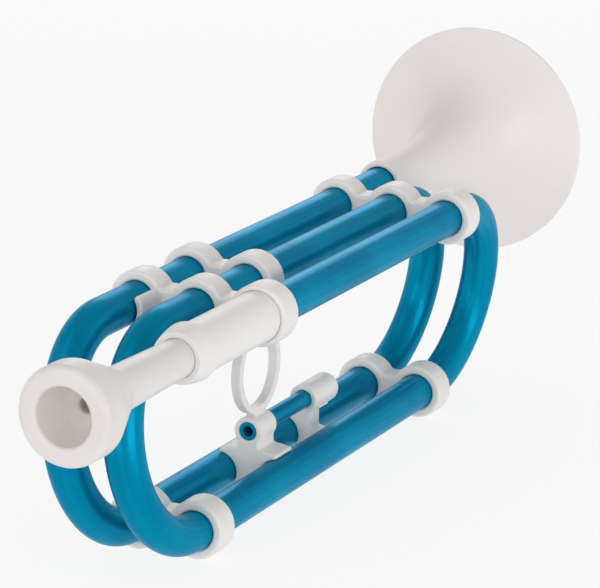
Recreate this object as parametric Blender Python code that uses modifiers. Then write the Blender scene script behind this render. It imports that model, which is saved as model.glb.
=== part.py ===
"""Plastic trumpet without valves: one blue tube coiled twice, held by white moulded clips.

The air path runs from the mouthpiece down the lead tube, round a rear bend to the
bottom row, round a front bend to the top row, and once more round, to the bell.
Lengths are in metres. The instrument's own axes: +X is the player's right, +Y is the
way the bell points, and +Z is up. The lead tube's axis lies at X = 0 and Z = 0, and
Y = 0 is the plane where the front bends begin. An empty carries every piece and puts
the instrument's bottom centre at the world's origin.
"""
import math

import bmesh
import bpy
from mathutils import Vector

MM = 0.001

# Clearances between pieces that touch
SEAT_GAP = 0.3 * MM
BUTT_GAP = 0.3 * MM

# Tubing
TUBE_RADIUS = 6.25 * MM
TUBE_WALL = 1.25 * MM
ROW_DROP = 65.0 * MM
STRAIGHT_RUN = 181.0 * MM

# Clips, each a row of rings joined by webs
CLIP_LENGTH = 10.0 * MM
CLIP_WALL = 2.95 * MM
CLIP_WEB = 9.4 * MM
CLIP_ROUNDING = 0.6 * MM
RING_SPACE = 2.2 * MM

# Clips along the tubes: from the nearer bend, or behind the clip before
FRONT_LOWER_SET = 1.3 * MM
REAR_LOWER_SET = 0.1 * MM
FRONT_UPPER_SET = 22.3 * MM
REAR_UPPER_SET = 1.8 * MM
SECOND_UPPER_SPACE = 24.6 * MM

# Tongue that runs forward from the front upper clip along the bell tube
TONGUE_LENGTH = 12.0 * MM
TONGUE_STEP = 0.5 * MM
TONGUE_SET = 0.15 * MM
TONGUE_LOW_ANGLE = math.radians(-50)
TONGUE_HIGH_ANGLE = math.radians(36)

# Tuning sleeve over the lead tube, and the collar on its front end
SLEEVE_WALL = 1.75 * MM
SLEEVE_LENGTH = 52.6 * MM
SLEEVE_SEAT_DEPTH = 5.5 * MM
SLEEVE_RING_WALL = 1.4 * MM
SLEEVE_SHOULDER = 0.5 * MM
COLLAR_WALL = 0.8 * MM
COLLAR_LENGTH = 8.3 * MM
COLLAR_LIP = 5.0 * MM
COLLAR_TAPER = 1.4 * MM
COLLAR_TAPER_POWER = 1.5
COLLAR_CHAMFER = 0.3 * MM
RECEIVER_DEPTH = 21.4 * MM
LEAD_END_GAP = 1.5 * MM

# Mouthpiece
MOUTHPIECE_LENGTH = 86.8 * MM
RIM_RADIUS = 15.0 * MM
RIM_LENGTH = 9.3 * MM
RIM_ROUNDING = 2.4 * MM
CUP_RADIUS = 8.8 * MM
CUP_EDGE_ROUNDING = 1.3 * MM
CUP_DEPTH = 12.5 * MM
THROAT_RADIUS = 2.4 * MM
THROAT_EASE = 3.0 * MM
THROAT_LENGTH = 8.0 * MM
BODY_LENGTH = 19.6 * MM
SHANK_TOP_RADIUS = 7.0 * MM
SHANK_TIP_RADIUS = 5.65 * MM
SHANK_TIP_WALL = 1.15 * MM
SHANK_END_GAP = 2.0 * MM

# Bell
BELL_SPACE = 27.8 * MM
BELL_LENGTH = 91.0 * MM
BELL_RADIUS = 43.6 * MM
BELL_RIM_WIDTH = 2.6 * MM
BELL_SOCKET_WALL = 1.85 * MM
BELL_SOCKET_DEPTH = 11.0 * MM
BELL_THROAT_EASE = 0.3 * MM
BELL_EDGE = 1.2 * MM
BELL_SWELL = 15.1 * MM
BELL_SWELL_POWER = 2.5
BELL_FLARE_POWER = 10.0

# Brackets on the bottom row, the grip tube between them and the finger ring
BRACKET_SET = 59.0 * MM
BRACKET_LENGTH = 12.0 * MM
BRACKET_SPACE = 34.5 * MM
BRACKET_WING_ANGLE = math.radians(82)
BRACKET_WEB_ANGLE = math.radians(-35)
BRACKET_WING_THICKNESS = 1.6 * MM
BRACKET_NECK = 3.8 * MM
BRACKET_NECK_FOOT = 8.9 * MM
BRACKET_ROUNDING = 0.5 * MM
BARREL_HEIGHT = 14.7 * MM
BARREL_WALL = 1.5 * MM
REAR_BRACKET_LENGTH = 7.0 * MM
REAR_NECK = 0.6 * MM
REAR_NECK_FOOT = 3.0 * MM
REAR_LIP_ANGLE = math.radians(20)
REAR_BARREL_WALL = 1.7 * MM
REAR_BARREL_OVERHANG = 5.0 * MM
REAR_BARREL_LENGTH = 18.5 * MM
REAR_BARREL_END = 3.0 * MM
REAR_BARREL_ROUNDING = 1.2 * MM
GRIP_TUBE_RADIUS = 3.0 * MM
GRIP_TUBE_WALL = 1.2 * MM
RING_INNER_RADIUS = 12.2 * MM
RING_THICKNESS = 2.7 * MM
RING_WIDTH = 3.5 * MM
RING_CHAMFER = 0.5 * MM
RING_RISE = 0.15 * MM
RING_FOOT_LENGTH = 7.0 * MM
RING_FOOT_INSET = 0.1 * MM
RING_FOOT_SINK = 1.0 * MM
RING_FOOT_REACH = 1.2 * MM

# Facets and steps of the round shapes
TUBE_FACETS = 20
TURNED_FACETS = 32
GRIP_FACETS = 16
BEND_STEPS = 12
BELL_STEPS = 14
CUP_STEPS = 6
COLLAR_STEPS = 4
ARC_STEP = math.radians(18)
ARC_SLACK = 1e-6
EDGE_ANGLE = math.radians(50)
WELD = 0.01 * MM
CUT_OVERSHOOT = 5.0 * MM

# Radii that follow from the tube
TUBE_BORE = TUBE_RADIUS - TUBE_WALL
TUBE_SEAT = TUBE_RADIUS + SEAT_GAP
CLIP_RADIUS = TUBE_SEAT + CLIP_WALL
SLEEVE_RADIUS = TUBE_SEAT + SLEEVE_WALL
SLEEVE_SEAT = SLEEVE_RADIUS + SEAT_GAP
COLLAR_RADIUS = SLEEVE_SEAT + COLLAR_WALL
BELL_STEM_RADIUS = TUBE_SEAT + BELL_SOCKET_WALL
BELL_THROAT_RADIUS = TUBE_BORE + BELL_THROAT_EASE
GRIP_SEAT = GRIP_TUBE_RADIUS + SEAT_GAP
BARREL_RADIUS = GRIP_SEAT + BARREL_WALL
REAR_BARREL_RADIUS = GRIP_SEAT + REAR_BARREL_WALL
RING_OUTER_RADIUS = RING_INNER_RADIUS + RING_THICKNESS

# Places of the five straight tubes across the instrument
TUBE_PITCH = 2 * CLIP_RADIUS + RING_SPACE
LEAD_X = 0.0
MIDDLE_X = LEAD_X - TUBE_PITCH
BELL_X = MIDDLE_X - TUBE_PITCH
LOW_NEAR_X = 0.5 * (LEAD_X + MIDDLE_X)
LOW_FAR_X = 0.5 * (MIDDLE_X + BELL_X)
LOW_MIDDLE_X = 0.5 * (LOW_NEAR_X + LOW_FAR_X)
LOW_Z = -ROW_DROP

# Front faces of the clips and brackets along the instrument
FRONT_LOWER_CLIP = FRONT_LOWER_SET
REAR_LOWER_CLIP = STRAIGHT_RUN - REAR_LOWER_SET - CLIP_LENGTH
FRONT_UPPER_CLIP = FRONT_UPPER_SET
REAR_UPPER_CLIP = STRAIGHT_RUN - REAR_UPPER_SET - CLIP_LENGTH
SECOND_UPPER_CLIP = FRONT_UPPER_CLIP + CLIP_LENGTH + SECOND_UPPER_SPACE
FRONT_BRACKET = BRACKET_SET
REAR_BRACKET = FRONT_BRACKET + BRACKET_LENGTH + BRACKET_SPACE
REAR_BARREL_FRONT = REAR_BRACKET - REAR_BARREL_OVERHANG
REAR_BARREL_REAR = REAR_BARREL_FRONT + REAR_BARREL_LENGTH
GRIP_SEAT_END = REAR_BARREL_REAR - REAR_BARREL_END
BARREL_Z = LOW_Z + BARREL_HEIGHT

# Planes where a bend meets a straight tube, hidden inside the clips
FRONT_UPPER_BUTT = FRONT_UPPER_CLIP + 0.5 * CLIP_LENGTH
FRONT_LOWER_BUTT = FRONT_LOWER_CLIP + 0.5 * CLIP_LENGTH
REAR_UPPER_BUTT = REAR_UPPER_CLIP + 0.5 * CLIP_LENGTH
REAR_LOWER_BUTT = REAR_LOWER_CLIP + 0.5 * CLIP_LENGTH

# Stations of the sleeve, the collar and the mouthpiece, from the front upper clip forward
SLEEVE_SEAT_END = FRONT_UPPER_CLIP + SLEEVE_SEAT_DEPTH
SLEEVE_REAR = SLEEVE_SEAT_END - SEAT_GAP
SLEEVE_FRONT = SLEEVE_REAR - SLEEVE_LENGTH
COLLAR_STEP = SLEEVE_FRONT - SEAT_GAP
COLLAR_FRONT = COLLAR_STEP - COLLAR_LIP
COLLAR_REAR = COLLAR_FRONT + COLLAR_LENGTH
RECEIVER_END = COLLAR_FRONT + RECEIVER_DEPTH
LEAD_FRONT = RECEIVER_END + SLEEVE_SHOULDER + LEAD_END_GAP
SHANK_TIP = RECEIVER_END - SHANK_END_GAP
RIM_FRONT = SHANK_TIP - MOUTHPIECE_LENGTH
RIM_REAR = RIM_FRONT + RIM_LENGTH
BODY_REAR = RIM_REAR + BODY_LENGTH

# Stations of the bell
BELL_FRONT = REAR_UPPER_CLIP + CLIP_LENGTH + BELL_SPACE
BELL_SOCKET_END = BELL_FRONT + BELL_SOCKET_DEPTH
BELL_RIM = BELL_FRONT + BELL_LENGTH

# The instrument's own origin, seen from the world's
ORIGIN = Vector((
    -0.5 * (BELL_X - BELL_RADIUS + LEAD_X + RIM_RADIUS),
    -0.5 * (RIM_FRONT + BELL_RIM),
    ROW_DROP + CLIP_RADIUS,
))

BLUE = (0.004, 0.168, 0.330, 1.0)
WHITE = (0.80, 0.79, 0.77, 1.0)
BLUE_ROUGHNESS = 0.35
WHITE_ROUGHNESS = 0.4


def clear_scene():
    for item in list(bpy.data.objects):
        bpy.data.objects.remove(item, do_unlink=True)


def new_collection(name):
    collection = bpy.data.collections.new(name)
    bpy.context.scene.collection.children.link(collection)
    return collection


def plastic(name, color, roughness):
    material = bpy.data.materials.new(name)
    material.use_nodes = True
    shader = material.node_tree.nodes["Principled BSDF"]
    shader.inputs["Base Color"].default_value = color
    shader.inputs["Roughness"].default_value = roughness
    shader.inputs["Metallic"].default_value = 0.0
    return material


def place(data, name, material, collection, location=(0, 0, 0), rotation=(0, 0, 0)):
    """Make an object of the data, with its own material, on the instrument's frame."""
    item = bpy.data.objects.new(name, data)
    data.materials.clear()
    data.materials.append(material)
    collection.objects.link(item)
    item.location = location
    item.rotation_euler = rotation
    item.parent = bpy.data.objects["trumpet_frame"]
    return item


def as_mesh(item):
    """Replace an object by the mesh of its evaluated shape, welded, in the same place."""
    bpy.context.view_layer.update()
    evaluated = item.evaluated_get(bpy.context.evaluated_depsgraph_get())
    mesh = bpy.data.meshes.new_from_object(evaluated)
    work = bmesh.new()
    work.from_mesh(mesh)
    bmesh.ops.remove_doubles(work, verts=work.verts, dist=WELD)
    work.to_mesh(mesh)
    work.free()
    name, material = item.name, item.data.materials[0]
    collection = item.users_collection[0]
    location, rotation = item.location.copy(), item.rotation_euler.copy()
    bpy.data.objects.remove(item, do_unlink=True)
    return place(mesh, name, material, collection, location, rotation)


def combine(item, tool, operation, solver="EXACT"):
    """Join a tool to an object, or cut it out, and keep the tool as a hidden guide."""
    step = item.modifiers.new(operation.lower() + "_" + tool.name, "BOOLEAN")
    step.operation = operation
    step.solver = solver
    step.object = tool
    tool.hide_render = True
    tool.display_type = "WIRE"


def turned(name, outline, material, collection, location=(0, 0, 0), facets=TURNED_FACETS):
    """Turn an outline of (radius, station) points round an axis along +Y.

    The outline runs down its outer side from the rear to the front. It goes on up its
    inner side, or it starts and ends on the axis.
    """
    mesh = bpy.data.meshes.new(name)
    points = [(radius, 0.0, station) for radius, station in outline]
    edges = [(i, i + 1) for i in range(len(points) - 1)]
    if outline[0][0] > 0:
        edges.append((len(points) - 1, 0))
    mesh.from_pydata(points, edges, [])
    item = place(mesh, name, material, collection, location, (-math.pi / 2, 0, 0))
    spin = item.modifiers.new("turn", "SCREW")
    spin.axis = "Z"
    spin.angle = 2 * math.pi
    spin.steps = facets
    spin.render_steps = facets
    spin.use_merge_vertices = True
    spin.merge_threshold = WELD
    spin.use_smooth_shade = True
    return item


def arc(center, radius, start, end):
    """Points on an arc from start to end, with one at each whole step between them."""
    low, high = min(start, end), max(start, end)
    first = math.ceil(low / ARC_STEP + ARC_SLACK)
    last = math.floor(high / ARC_STEP - ARC_SLACK)
    angles = [low] + [k * ARC_STEP for k in range(first, last + 1)] + [high]
    if start > end:
        angles.reverse()
    return [(center[0] + radius * math.cos(a), center[1] + radius * math.sin(a)) for a in angles]


def circle(center, radius, facets=TUBE_FACETS):
    return [(center[0] + radius * math.cos(2 * math.pi * i / facets),
             center[1] + radius * math.sin(2 * math.pi * i / facets)) for i in range(facets)]


def plate(name, outlines, length, rounding, material, collection, location):
    """Extrude flat outlines (the first outside, the rest holes) along Y, edges rounded."""
    curve = bpy.data.curves.new(name, "CURVE")
    curve.dimensions = "2D"
    curve.fill_mode = "BOTH"
    curve.extrude = 0.5 * length
    for outline in outlines:
        spline = curve.splines.new("POLY")
        spline.points.add(len(outline) - 1)
        for point, (across, up) in zip(spline.points, outline):
            point.co = (across, up, 0.0, 1.0)
        spline.use_cyclic_u = True
    item = place(curve, name, material, collection, location, (math.pi / 2, 0, 0))
    weld = item.modifiers.new("weld", "WELD")
    weld.merge_threshold = WELD
    if rounding:
        edge = item.modifiers.new("rounded_edges", "BEVEL")
        edge.width = rounding
        edge.segments = 1
        edge.limit_method = "ANGLE"
        edge.angle_limit = EDGE_ANGLE
    return item


def straight_tube(name, across, up, front, rear, material, collection):
    outline = [(TUBE_RADIUS, rear), (TUBE_RADIUS, front), (TUBE_BORE, front), (TUBE_BORE, rear)]
    return turned(name, outline, material, collection, (across, 0, up), TUBE_FACETS)


def bend(name, top_x, bottom_x, tangent, top_end, bottom_end, material, collection):
    """A half-circle bend between the rows, with a straight leg at each end."""
    toward = 1.0 if tangent > top_end else -1.0
    middle = Vector((0.5 * (top_x + bottom_x), tangent, 0.5 * LOW_Z))
    reach = Vector((top_x, tangent, 0.0)) - middle
    forward = Vector((0.0, toward * reach.length, 0.0))
    path = [Vector((top_x, top_end, 0.0))]
    for k in range(BEND_STEPS + 1):
        turn = math.pi * k / BEND_STEPS
        path.append(middle + math.cos(turn) * reach + math.sin(turn) * forward)
    path.append(Vector((bottom_x, bottom_end, LOW_Z)))
    curve = bpy.data.curves.new(name, "CURVE")
    curve.dimensions = "3D"
    curve.bevel_depth = TUBE_RADIUS
    curve.bevel_resolution = TUBE_FACETS // 2 - 2
    curve.use_fill_caps = False
    spline = curve.splines.new("POLY")
    spline.points.add(len(path) - 1)
    for point, position in zip(spline.points, path):
        point.co = (*position, 1.0)
    item = place(curve, name, material, collection)
    weld = item.modifiers.new("weld", "WELD")
    weld.merge_threshold = WELD
    wall = item.modifiers.new("wall", "SOLIDIFY")
    wall.thickness = TUBE_WALL
    wall.offset = -1.0
    wall.use_even_offset = True
    return item


def build_tubes(blue, parts):
    half_gap = 0.5 * BUTT_GAP
    top_rear = REAR_UPPER_BUTT - half_gap
    top_front = FRONT_UPPER_BUTT + half_gap
    bell_end = BELL_SOCKET_END - SEAT_GAP
    straight_tube("lead_tube", LEAD_X, 0, LEAD_FRONT, top_rear, blue, parts)
    straight_tube("middle_tube", MIDDLE_X, 0, top_front, top_rear, blue, parts)
    straight_tube("bell_tube", BELL_X, 0, top_front, bell_end, blue, parts)
    for name, across in (("low_near_tube", LOW_NEAR_X), ("low_far_tube", LOW_FAR_X)):
        straight_tube(name, across, LOW_Z, FRONT_LOWER_BUTT + half_gap,
                      REAR_LOWER_BUTT - half_gap, blue, parts)


def build_bends(blue, parts):
    half_gap = 0.5 * BUTT_GAP
    for name, top_x, bottom_x in (("front_near_bend", MIDDLE_X, LOW_NEAR_X),
                                  ("front_far_bend", BELL_X, LOW_FAR_X)):
        bend(name, top_x, bottom_x, 0.0, FRONT_UPPER_BUTT - half_gap,
             FRONT_LOWER_BUTT - half_gap, blue, parts)
    for name, top_x, bottom_x in (("rear_near_bend", LEAD_X, LOW_NEAR_X),
                                  ("rear_far_bend", MIDDLE_X, LOW_FAR_X)):
        bend(name, top_x, bottom_x, STRAIGHT_RUN, REAR_UPPER_BUTT + half_gap,
             REAR_LOWER_BUTT + half_gap, blue, parts)


def ring_row(radii):
    """Outline of a row of rings joined by webs, the first ring's centre at zero."""
    webs = [math.asin(0.5 * CLIP_WEB / radius) for radius in radii]
    last = len(radii) - 1
    outline = arc((last * TUBE_PITCH, 0), radii[last],
                  webs[last] - math.pi, math.pi - webs[last])
    for k in range(last - 1, 0, -1):
        outline += arc((k * TUBE_PITCH, 0), radii[k], webs[k], math.pi - webs[k])
    outline += arc((0, 0), radii[0], webs[0], 2 * math.pi - webs[0])
    for k in range(1, last):
        outline += arc((k * TUBE_PITCH, 0), radii[k], math.pi + webs[k], 2 * math.pi - webs[k])
    return outline


def clip(name, first_x, up, front, radii, material, collection):
    bores = [circle((k * TUBE_PITCH, 0), TUBE_SEAT) for k in range(len(radii))]
    return plate(name, [ring_row(radii)] + bores, CLIP_LENGTH, CLIP_ROUNDING, material,
                 collection, (first_x, front + 0.5 * CLIP_LENGTH, up))


def tongue(material, guides):
    """A trough along the bell tube's near side, running into the front upper clip."""
    inner = TUBE_SEAT + TONGUE_SET
    outer = CLIP_RADIUS - TONGUE_STEP
    outline = arc((0, 0), outer, TONGUE_LOW_ANGLE, TONGUE_HIGH_ANGLE)
    outline += arc((0, 0), inner, TONGUE_HIGH_ANGLE, TONGUE_LOW_ANGLE)
    length = TONGUE_LENGTH + 0.5 * CLIP_LENGTH
    middle = FRONT_UPPER_BUTT - 0.5 * length
    return as_mesh(plate("tongue_guide", [outline], length, 0, material, guides,
                         (BELL_X, middle, 0)))


def sleeve_seat(material, guides):
    """Cutter for the seat of the tuning sleeve's rear end, in the front upper clip."""
    front = FRONT_UPPER_CLIP - CUT_OVERSHOOT
    outline = [(0, SLEEVE_SEAT_END), (SLEEVE_SEAT, SLEEVE_SEAT_END),
               (SLEEVE_SEAT, front), (0, front)]
    return as_mesh(turned("sleeve_seat_cutter", outline, material, guides, (LEAD_X, 0, 0),
                          TUBE_FACETS))


def build_clips(white, parts, guides):
    pair = [CLIP_RADIUS] * 2
    front = as_mesh(clip("front_upper_clip", BELL_X, 0, FRONT_UPPER_CLIP,
                         pair + [SLEEVE_SEAT + SLEEVE_RING_WALL], white, parts))
    combine(front, sleeve_seat(white, guides), "DIFFERENCE", "MANIFOLD")
    combine(front, tongue(white, guides), "UNION", "MANIFOLD")
    clip("second_upper_clip", BELL_X, 0, SECOND_UPPER_CLIP, pair, white, parts)
    clip("rear_upper_clip", BELL_X, 0, REAR_UPPER_CLIP, pair + [CLIP_RADIUS], white, parts)
    clip("front_lower_clip", LOW_FAR_X, LOW_Z, FRONT_LOWER_CLIP, pair, white, parts)
    clip("rear_lower_clip", LOW_FAR_X, LOW_Z, REAR_LOWER_CLIP, pair, white, parts)


def shank_radius(station):
    """Radius of the shank's taper at a station along it."""
    share = (station - BODY_REAR) / (SHANK_TIP - BODY_REAR)
    return SHANK_TOP_RADIUS + (SHANK_TIP_RADIUS - SHANK_TOP_RADIUS) * share


def build_receiver(white, parts):
    turned("tuning_sleeve", [
        (SLEEVE_RADIUS, SLEEVE_REAR), (SLEEVE_RADIUS, SLEEVE_FRONT),
        (shank_radius(SLEEVE_FRONT) + SEAT_GAP, SLEEVE_FRONT),
        (shank_radius(RECEIVER_END) + SEAT_GAP, RECEIVER_END),
        (TUBE_SEAT, RECEIVER_END + SLEEVE_SHOULDER), (TUBE_SEAT, SLEEVE_REAR)], white, parts)
    outline = [(COLLAR_RADIUS - COLLAR_CHAMFER, COLLAR_REAR),
               (COLLAR_RADIUS, COLLAR_REAR - COLLAR_CHAMFER)]
    for k in range(1, COLLAR_STEPS + 1):
        share = k / COLLAR_STEPS
        outline.append((COLLAR_RADIUS - COLLAR_TAPER * share ** COLLAR_TAPER_POWER,
                        COLLAR_REAR - COLLAR_LENGTH * share))
    outline += [(shank_radius(COLLAR_FRONT) + SEAT_GAP, COLLAR_FRONT),
                (shank_radius(COLLAR_STEP) + SEAT_GAP, COLLAR_STEP),
                (SLEEVE_SEAT, COLLAR_STEP), (SLEEVE_SEAT, COLLAR_REAR)]
    turned("receiver_collar", outline, white, parts)


def build_mouthpiece(white, parts):
    """Rim, cup, throat, conical body and tapered shank, turned round the lead tube's axis."""
    outline = [(SHANK_TIP_RADIUS - SHANK_TIP_WALL, SHANK_TIP), (SHANK_TIP_RADIUS, SHANK_TIP),
               (SHANK_TOP_RADIUS, BODY_REAR), (RIM_RADIUS, RIM_REAR)]
    crest = CUP_RADIUS + CUP_EDGE_ROUNDING
    rounding = min(RIM_ROUNDING, RIM_RADIUS - crest)
    outline += arc((RIM_RADIUS - rounding, RIM_FRONT + rounding), rounding, 0, -math.pi / 2)
    cup_top = RIM_FRONT + CUP_EDGE_ROUNDING
    outline += arc((crest, cup_top), CUP_EDGE_ROUNDING, -math.pi / 2, -math.pi)
    cup_end = math.acos((THROAT_RADIUS + THROAT_EASE) / CUP_RADIUS)
    for k in range(1, CUP_STEPS + 1):
        turn = cup_end * k / CUP_STEPS
        outline.append((CUP_RADIUS * math.cos(turn), cup_top + CUP_DEPTH * math.sin(turn)))
    outline += [(THROAT_RADIUS, cup_top + CUP_DEPTH),
                (THROAT_RADIUS, cup_top + CUP_DEPTH + THROAT_LENGTH)]
    turned("mouthpiece", outline, white, parts)


def flare(share, small, large):
    """Radius at a share of the bell's length: a stem that swells, then opens at the rim."""
    return (small + BELL_SWELL * share ** BELL_SWELL_POWER
            + (large - small - BELL_SWELL) * share ** BELL_FLARE_POWER)


def build_bell(white, parts):
    """Stem, flare and rim, with a socket for the bell tube in the stem's front end."""
    inner_rim = BELL_RADIUS - BELL_RIM_WIDTH
    turns = [math.sin(0.5 * math.pi * k / BELL_STEPS) for k in range(BELL_STEPS + 1)]
    outline = [(BELL_RADIUS, BELL_RIM)]
    for share in reversed(turns):
        outline.append((flare(share, BELL_STEM_RADIUS, BELL_RADIUS),
                        BELL_FRONT + (BELL_LENGTH - BELL_EDGE) * share))
    outline += [(TUBE_SEAT, BELL_FRONT), (TUBE_SEAT, BELL_SOCKET_END)]
    for share in turns:
        station = BELL_SOCKET_END + (BELL_RIM - BELL_SOCKET_END) * share
        outline.append((flare((station - BELL_FRONT) / BELL_LENGTH, BELL_THROAT_RADIUS,
                              inner_rim), station))
    turned("bell", outline, white, parts, (BELL_X, 0, 0))


def saddle_half(reach, corners):
    """Right half of a bracket's outline: the near tube's seat, then corners up the neck."""
    seat = arc((0.5 * TUBE_PITCH, 0), TUBE_SEAT, math.pi - BRACKET_WEB_ANGLE, math.pi - reach)
    return seat + corners


def winged_half(top):
    """Right half with a wing over the tube and a straight neck up to a point."""
    outer = TUBE_SEAT + BRACKET_WING_THICKNESS
    tip = (0.5 * TUBE_PITCH - outer * math.cos(BRACKET_WING_ANGLE),
           outer * math.sin(BRACKET_WING_ANGLE))
    return saddle_half(BRACKET_WING_ANGLE, [tip, (BRACKET_NECK, BRACKET_NECK_FOOT)] + top)


def mirrored(half):
    return [(-across, up) for across, up in reversed(half)]


def bracket(name, outlines, front, length, material, collection):
    return as_mesh(plate(name, outlines, length, BRACKET_ROUNDING, material, collection,
                         (LOW_MIDDLE_X, front + 0.5 * length, LOW_Z)))


def front_bracket_outline():
    """Saddle with a wing over each bottom tube and an open barrel above its neck."""
    barrel = arc((0, BARREL_HEIGHT), BARREL_RADIUS, -math.acos(BRACKET_NECK / BARREL_RADIUS),
                 math.pi / 2)
    half = winged_half(barrel)
    return half[:-1] + [barrel[-1]] + mirrored(half[:-1])


def rear_bracket_outline():
    """Saddle with a wing over the far tube only, and a neck up into the rear barrel."""
    near = saddle_half(REAR_LIP_ANGLE, [(REAR_NECK, REAR_NECK_FOOT),
                                        (REAR_NECK, BARREL_HEIGHT)])
    return near + mirrored(winged_half([(BRACKET_NECK, BARREL_HEIGHT)]))


def finger_ring(material, guides):
    """A flat band bent to a ring, standing on the front bracket's barrel, open sideways."""
    half = 0.5 * RING_WIDTH
    flat = half - RING_CHAMFER
    outer, inner = RING_OUTER_RADIUS, RING_INNER_RADIUS
    outline = [(outer - RING_CHAMFER, half), (outer, flat), (outer, -flat),
               (outer - RING_CHAMFER, -half), (inner + RING_CHAMFER, -half),
               (inner, -flat), (inner, flat), (inner + RING_CHAMFER, half)]
    up = BARREL_Z + BARREL_RADIUS + RING_RISE + outer
    ring = turned("finger_ring_guide", outline, material, guides,
                  (LOW_MIDDLE_X, FRONT_BRACKET + 0.5 * BRACKET_LENGTH, up))
    ring.rotation_euler = (0, math.pi / 2, 0)
    return as_mesh(ring)


def ring_foot(material, guides):
    """A block that joins the finger ring to the barrel."""
    half = 0.5 * RING_WIDTH - RING_FOOT_INSET
    top = BARREL_HEIGHT + BARREL_RADIUS
    outline = [(-half, top - RING_FOOT_SINK), (half, top - RING_FOOT_SINK),
               (half, top + RING_FOOT_REACH), (-half, top + RING_FOOT_REACH)]
    return as_mesh(plate("ring_foot_guide", [outline], RING_FOOT_LENGTH, 0, material, guides,
                         (LOW_MIDDLE_X, FRONT_BRACKET + 0.5 * BRACKET_LENGTH, LOW_Z)))


def rear_barrel(material, guides):
    """A barrel closed and rounded at its rear end."""
    edge = REAR_BARREL_ROUNDING
    outline = [(0, REAR_BARREL_REAR)]
    outline += arc((REAR_BARREL_RADIUS - edge, REAR_BARREL_REAR - edge), edge, math.pi / 2, 0)
    outline += [(REAR_BARREL_RADIUS, REAR_BARREL_FRONT), (0, REAR_BARREL_FRONT)]
    return as_mesh(turned("rear_barrel_guide", outline, material, guides,
                          (LOW_MIDDLE_X, 0, BARREL_Z)))


def grip_bore(material, guides):
    """Cutter for the grip tube's blind seat in the rear barrel."""
    front = REAR_BARREL_FRONT - CUT_OVERSHOOT
    outline = [(0, GRIP_SEAT_END), (GRIP_SEAT, GRIP_SEAT_END), (GRIP_SEAT, front), (0, front)]
    return as_mesh(turned("grip_bore_cutter", outline, material, guides,
                          (LOW_MIDDLE_X, 0, BARREL_Z), GRIP_FACETS))


def build_brackets(blue, white, parts, guides):
    hole = circle((0, BARREL_HEIGHT), GRIP_SEAT, GRIP_FACETS)
    front = bracket("finger_ring_bracket", [front_bracket_outline(), hole], FRONT_BRACKET,
                    BRACKET_LENGTH, white, parts)
    combine(front, finger_ring(white, guides), "UNION")
    combine(front, ring_foot(white, guides), "UNION")
    rear = bracket("rear_bracket", [rear_bracket_outline()], REAR_BRACKET,
                   REAR_BRACKET_LENGTH, white, parts)
    combine(rear, rear_barrel(white, guides), "UNION")
    combine(rear, grip_bore(white, guides), "DIFFERENCE")
    tube_rear = GRIP_SEAT_END - SEAT_GAP
    bore = GRIP_TUBE_RADIUS - GRIP_TUBE_WALL
    outline = [(GRIP_TUBE_RADIUS, tube_rear), (GRIP_TUBE_RADIUS, FRONT_BRACKET),
               (bore, FRONT_BRACKET), (bore, tube_rear)]
    turned("grip_tube", outline, blue, parts, (LOW_MIDDLE_X, 0, BARREL_Z), GRIP_FACETS)


def main():
    clear_scene()
    parts = new_collection("plastic_trumpet")
    guides = new_collection("guides")
    frame = bpy.data.objects.new("trumpet_frame", None)
    frame.location = ORIGIN
    parts.objects.link(frame)
    blue = plastic("blue_tube", BLUE, BLUE_ROUGHNESS)
    white = plastic("white_moulding", WHITE, WHITE_ROUGHNESS)
    build_tubes(blue, parts)
    build_bends(blue, parts)
    build_clips(white, parts, guides)
    build_receiver(white, parts)
    build_mouthpiece(white, parts)
    build_bell(white, parts)
    build_brackets(blue, white, parts, guides)
    bpy.context.view_layer.update()


main()
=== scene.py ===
"""Looks of a plastic trumpet: satin blue tubing, moulded white pieces and a plain studio.

Each sub-assembly is a class that builds its pieces round the frame's solids, and each
finish is a small frozen dataclass that makes one material. Lengths are in metres.
"""
from __future__ import annotations

import logging
import math
from dataclasses import dataclass
from enum import Enum
from typing import Callable, Sequence

import bpy
import numpy as np
from mathutils import Matrix, Vector


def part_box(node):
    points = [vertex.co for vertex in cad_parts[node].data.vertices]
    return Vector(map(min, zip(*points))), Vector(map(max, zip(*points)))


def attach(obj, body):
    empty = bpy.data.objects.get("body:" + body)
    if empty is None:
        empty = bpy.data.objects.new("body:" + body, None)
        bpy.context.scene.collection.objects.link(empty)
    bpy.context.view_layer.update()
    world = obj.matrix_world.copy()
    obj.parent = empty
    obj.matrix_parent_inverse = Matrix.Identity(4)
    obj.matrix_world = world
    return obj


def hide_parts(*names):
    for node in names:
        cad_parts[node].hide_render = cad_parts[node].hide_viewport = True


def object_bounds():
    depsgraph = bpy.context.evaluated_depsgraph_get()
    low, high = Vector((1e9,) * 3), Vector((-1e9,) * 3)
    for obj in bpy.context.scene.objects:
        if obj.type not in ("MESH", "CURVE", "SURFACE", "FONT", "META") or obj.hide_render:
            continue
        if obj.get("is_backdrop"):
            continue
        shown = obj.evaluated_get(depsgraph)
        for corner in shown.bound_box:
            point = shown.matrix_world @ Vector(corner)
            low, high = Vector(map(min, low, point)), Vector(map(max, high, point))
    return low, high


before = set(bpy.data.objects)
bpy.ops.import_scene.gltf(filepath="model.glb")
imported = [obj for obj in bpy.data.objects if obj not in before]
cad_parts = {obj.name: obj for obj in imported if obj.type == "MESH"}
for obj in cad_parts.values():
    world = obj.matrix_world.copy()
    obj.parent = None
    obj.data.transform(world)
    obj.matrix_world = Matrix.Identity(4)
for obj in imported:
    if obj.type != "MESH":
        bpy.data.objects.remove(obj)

log = logging.getLogger("trumpet")

MM = 0.001
QUARTER = 0.5 * math.pi
FULL_TURN = 2 * math.pi
ACROSS = Vector((1.0, 0.0, 0.0))
ALONG = Vector((0.0, 1.0, 0.0))
UP = Vector((0.0, 0.0, 1.0))
TUBE_PLACE = "tube_place"

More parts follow.
